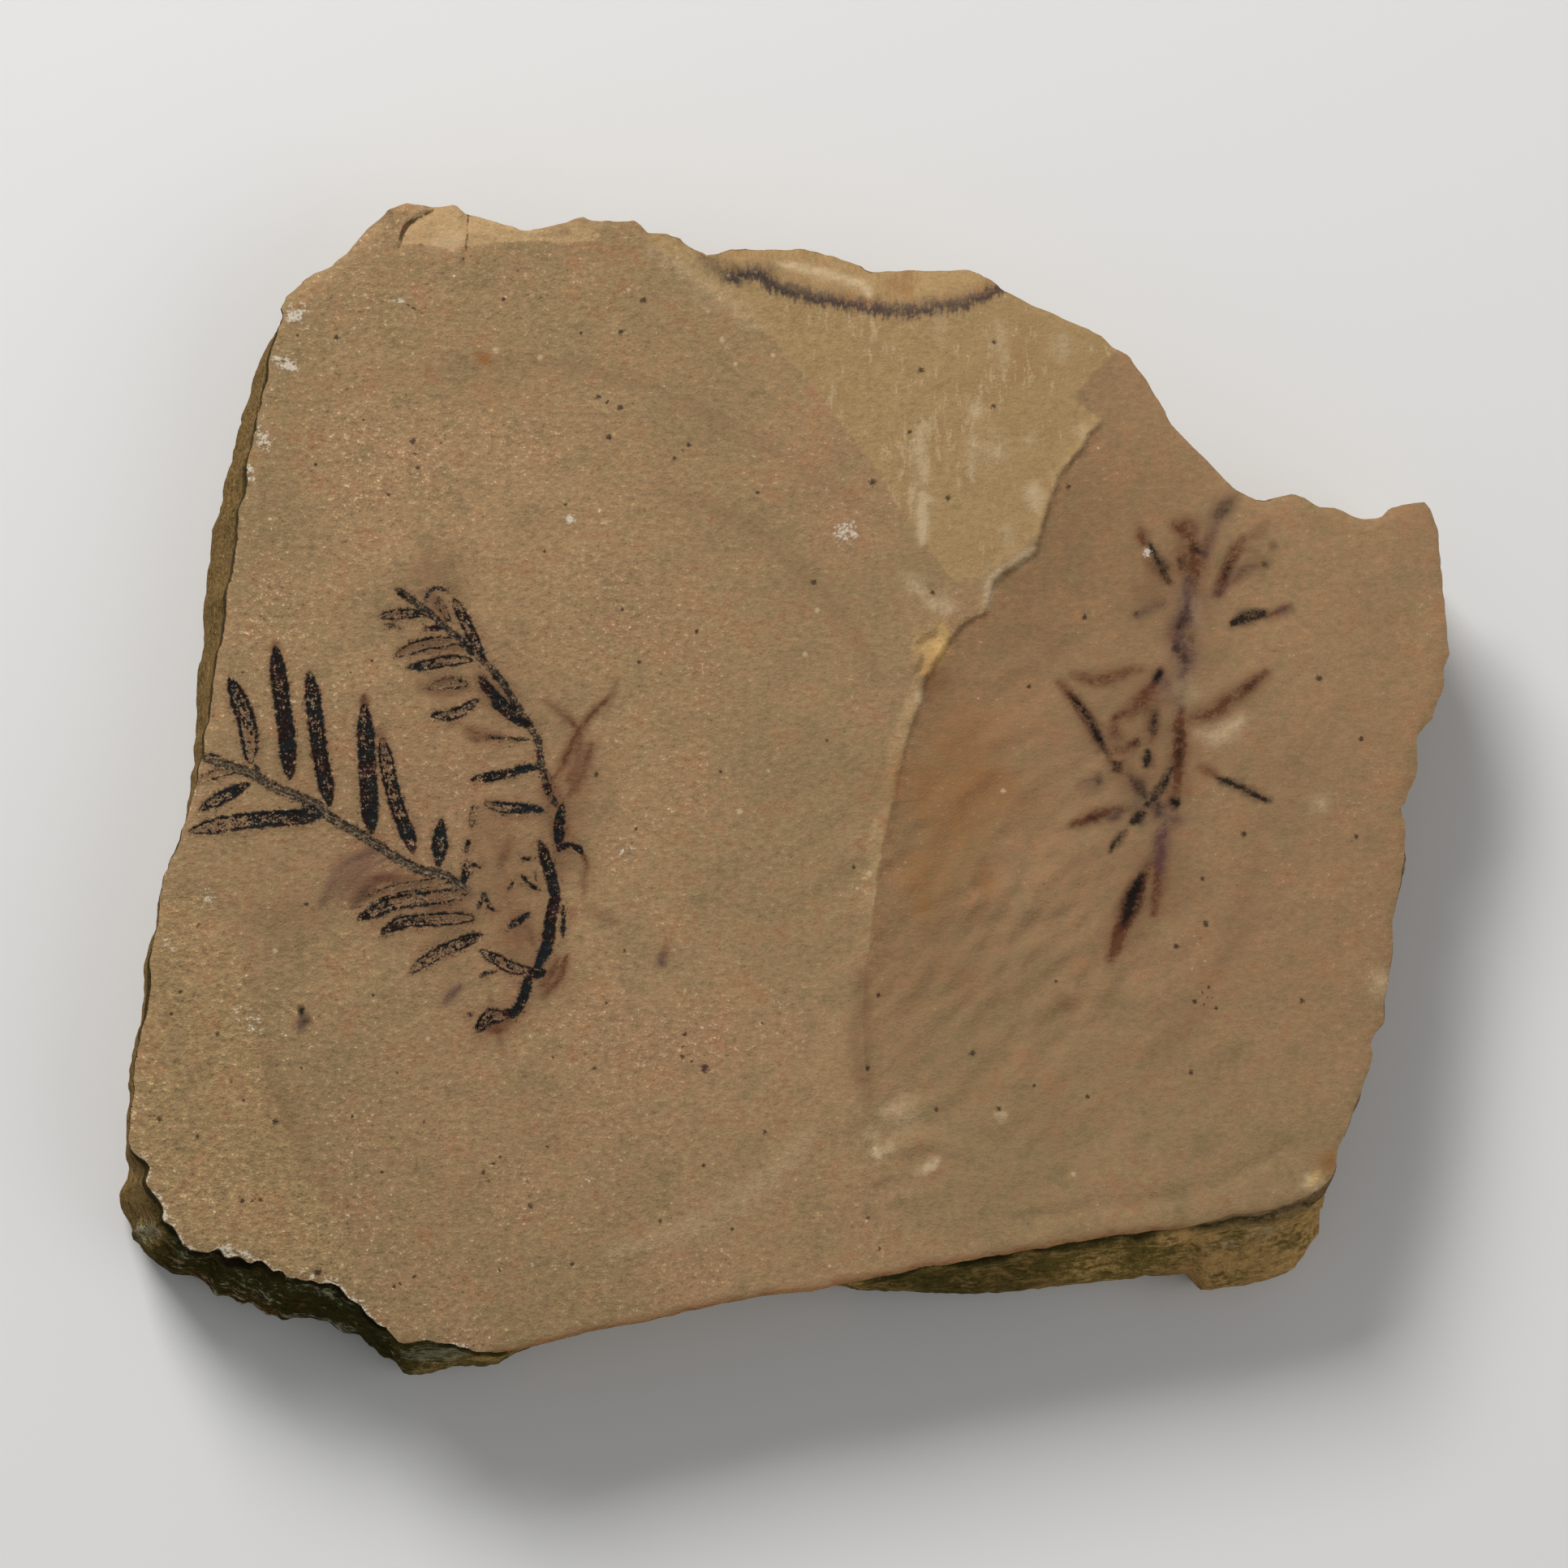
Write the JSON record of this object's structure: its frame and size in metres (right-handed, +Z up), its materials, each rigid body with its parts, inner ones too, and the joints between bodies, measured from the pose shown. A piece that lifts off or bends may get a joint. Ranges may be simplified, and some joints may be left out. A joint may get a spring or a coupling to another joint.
{
  "type": "fossil dawn redwood plate",
  "caption": "Irregular split slab of bedded siltstone, fossil face up, with a low bedding step, a worn facet at the upper edge and a jutting ledge below.",
  "frame": {"origin": "on the underside, below the middle of the slab's box", "axes": "+X along the slab's length, +Y across it towards the chipped upper edge, +Z up out of the fossil face"},
  "size_m": [0.1202, 0.1058, 0.016],
  "materials": {
    "siltstone": "dull split surface of fine tan siltstone, with dark weathered joint faces round the edge"
  },
  "bodies": {
    "root": {"siltstone_slab": "siltstone"}
  },
  "joints": []
}
